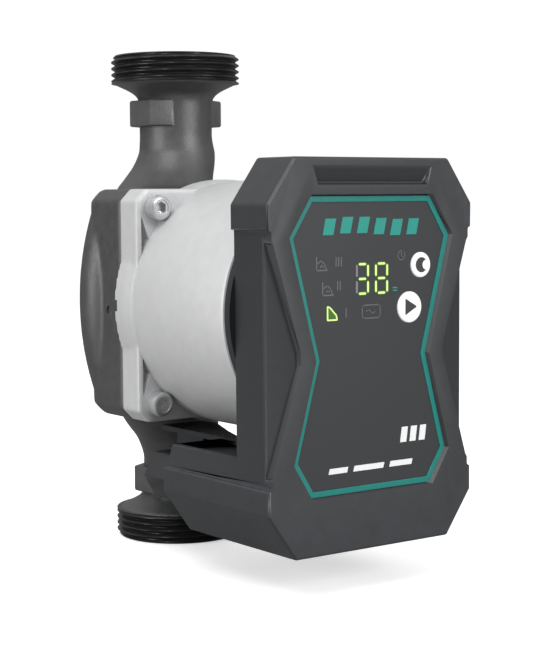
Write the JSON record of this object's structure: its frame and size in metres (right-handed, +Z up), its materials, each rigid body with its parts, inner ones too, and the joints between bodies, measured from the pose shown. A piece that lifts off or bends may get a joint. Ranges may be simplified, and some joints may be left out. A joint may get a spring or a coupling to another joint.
{
  "type": "circulator pump",
  "caption": "In-line wet-rotor circulator pump with threaded ports, a square-flanged motor and a dark control box with a trimmed display panel and two buttons.",
  "frame": {"origin": "centre of the inlet face, on the pipe axis", "axes": "+Z up the pipe from inlet to outlet, -Y towards the control box front, +X to the right of the display"},
  "size_m": [0.09, 0.1399, 0.18],
  "materials": {
    "cast_iron": "sand-cast, dark electro-coated",
    "aluminium": "die-cast, satin",
    "stainless": "brushed",
    "screw_steel": "zinc plated",
    "box_plastic": "fine moulded grain",
    "base_plastic": "fine moulded grain",
    "panel": "satin printed film",
    "trim": "satin",
    "button": "satin",
    "display": "smoked",
    "board": "solder mask",
    "part_black": "moulded",
    "part_cream": "moulded",
    "film_yellow": "potted box",
    "copper": "enamelled wire",
    "brass": "bright",
    "laminate": "stacked sheet edges",
    "magnet": "coated",
    "graphite": "ground carbon",
    "ceramic": "ground",
    "impeller": "glass-filled",
    "rubber": "moulded",
    "thermal_pad": "soft",
    "lead": "insulated wire",
    "can": "sleeved",
    "gland": "moulded polyamide",
    "led": "clear resin"
  },
  "bodies": {
    "body": {"pump_housing": "cast_iron", "wear_ring": "brass", "housing_gasket": "rubber", "bearing_plate": "stainless", "front_bearing": "graphite", "thrust_bearing": "graphite", "rotor_can": "stainless", "can_seal": "rubber", "rear_bearing": "graphite", "rear_bearing_holder": "impeller", "stator_core": "laminate", "stator_insulators": "part_cream", "stator_windings": "copper", "winding_pins": "brass", "motor_housing": "aluminium", "flange_screws": "screw_steel", "box_gasket": "rubber", "box_base": "base_plastic", "base_screws": "screw_steel", "box_cover": "box_plastic", "cover_screws": "screw_steel", "foot_screws": "screw_steel", "trim_line_ring": "trim", "fascia_panel": "panel", "digit_display": "display", "display_board": "board", "mode_leds": "led", "tact_switches": "part_black", "power_board": "board", "board_connector": "part_black", "capacitors": "can", "film_capacitor": "film_yellow", "choke": "copper", "power_module": "part_black", "heat_pad": "thermal_pad", "terminal_block": "part_cream", "terminal_screws": "brass", "supply_leads": "lead", "cable_gland": "gland", "gland_nut": "gland", "gland_seal": "rubber"},
    "rotor": {"shaft": "stainless", "rotor_core": "laminate", "rotor_magnets": "magnet", "rotor_sleeve": "stainless", "rotor_end_caps": "stainless", "thrust_collar": "ceramic", "impeller": "impeller", "impeller_shroud": "impeller", "impeller_lock_ring": "stainless"},
    "night_button": {"night_button": "button"},
    "mode_button": {"mode_button": "button"}
  },
  "joints": [
    {"name": "rotor_spin", "type": "hinge", "parent": "body", "child": "rotor", "pos_m": [0, -0.05, 0.09], "axis": [0, 1, 0], "continuous": true},
    {"name": "night_button_press", "type": "slide", "parent": "body", "child": "night_button", "axis": [0, 1, 0], "range_m": [0, 0.0005], "stiffness_N_per_m": 2000},
    {"name": "mode_button_press", "type": "slide", "parent": "body", "child": "mode_button", "axis": [0, 1, 0], "range_m": [0, 0.0005], "stiffness_N_per_m": 2000}
  ]
}
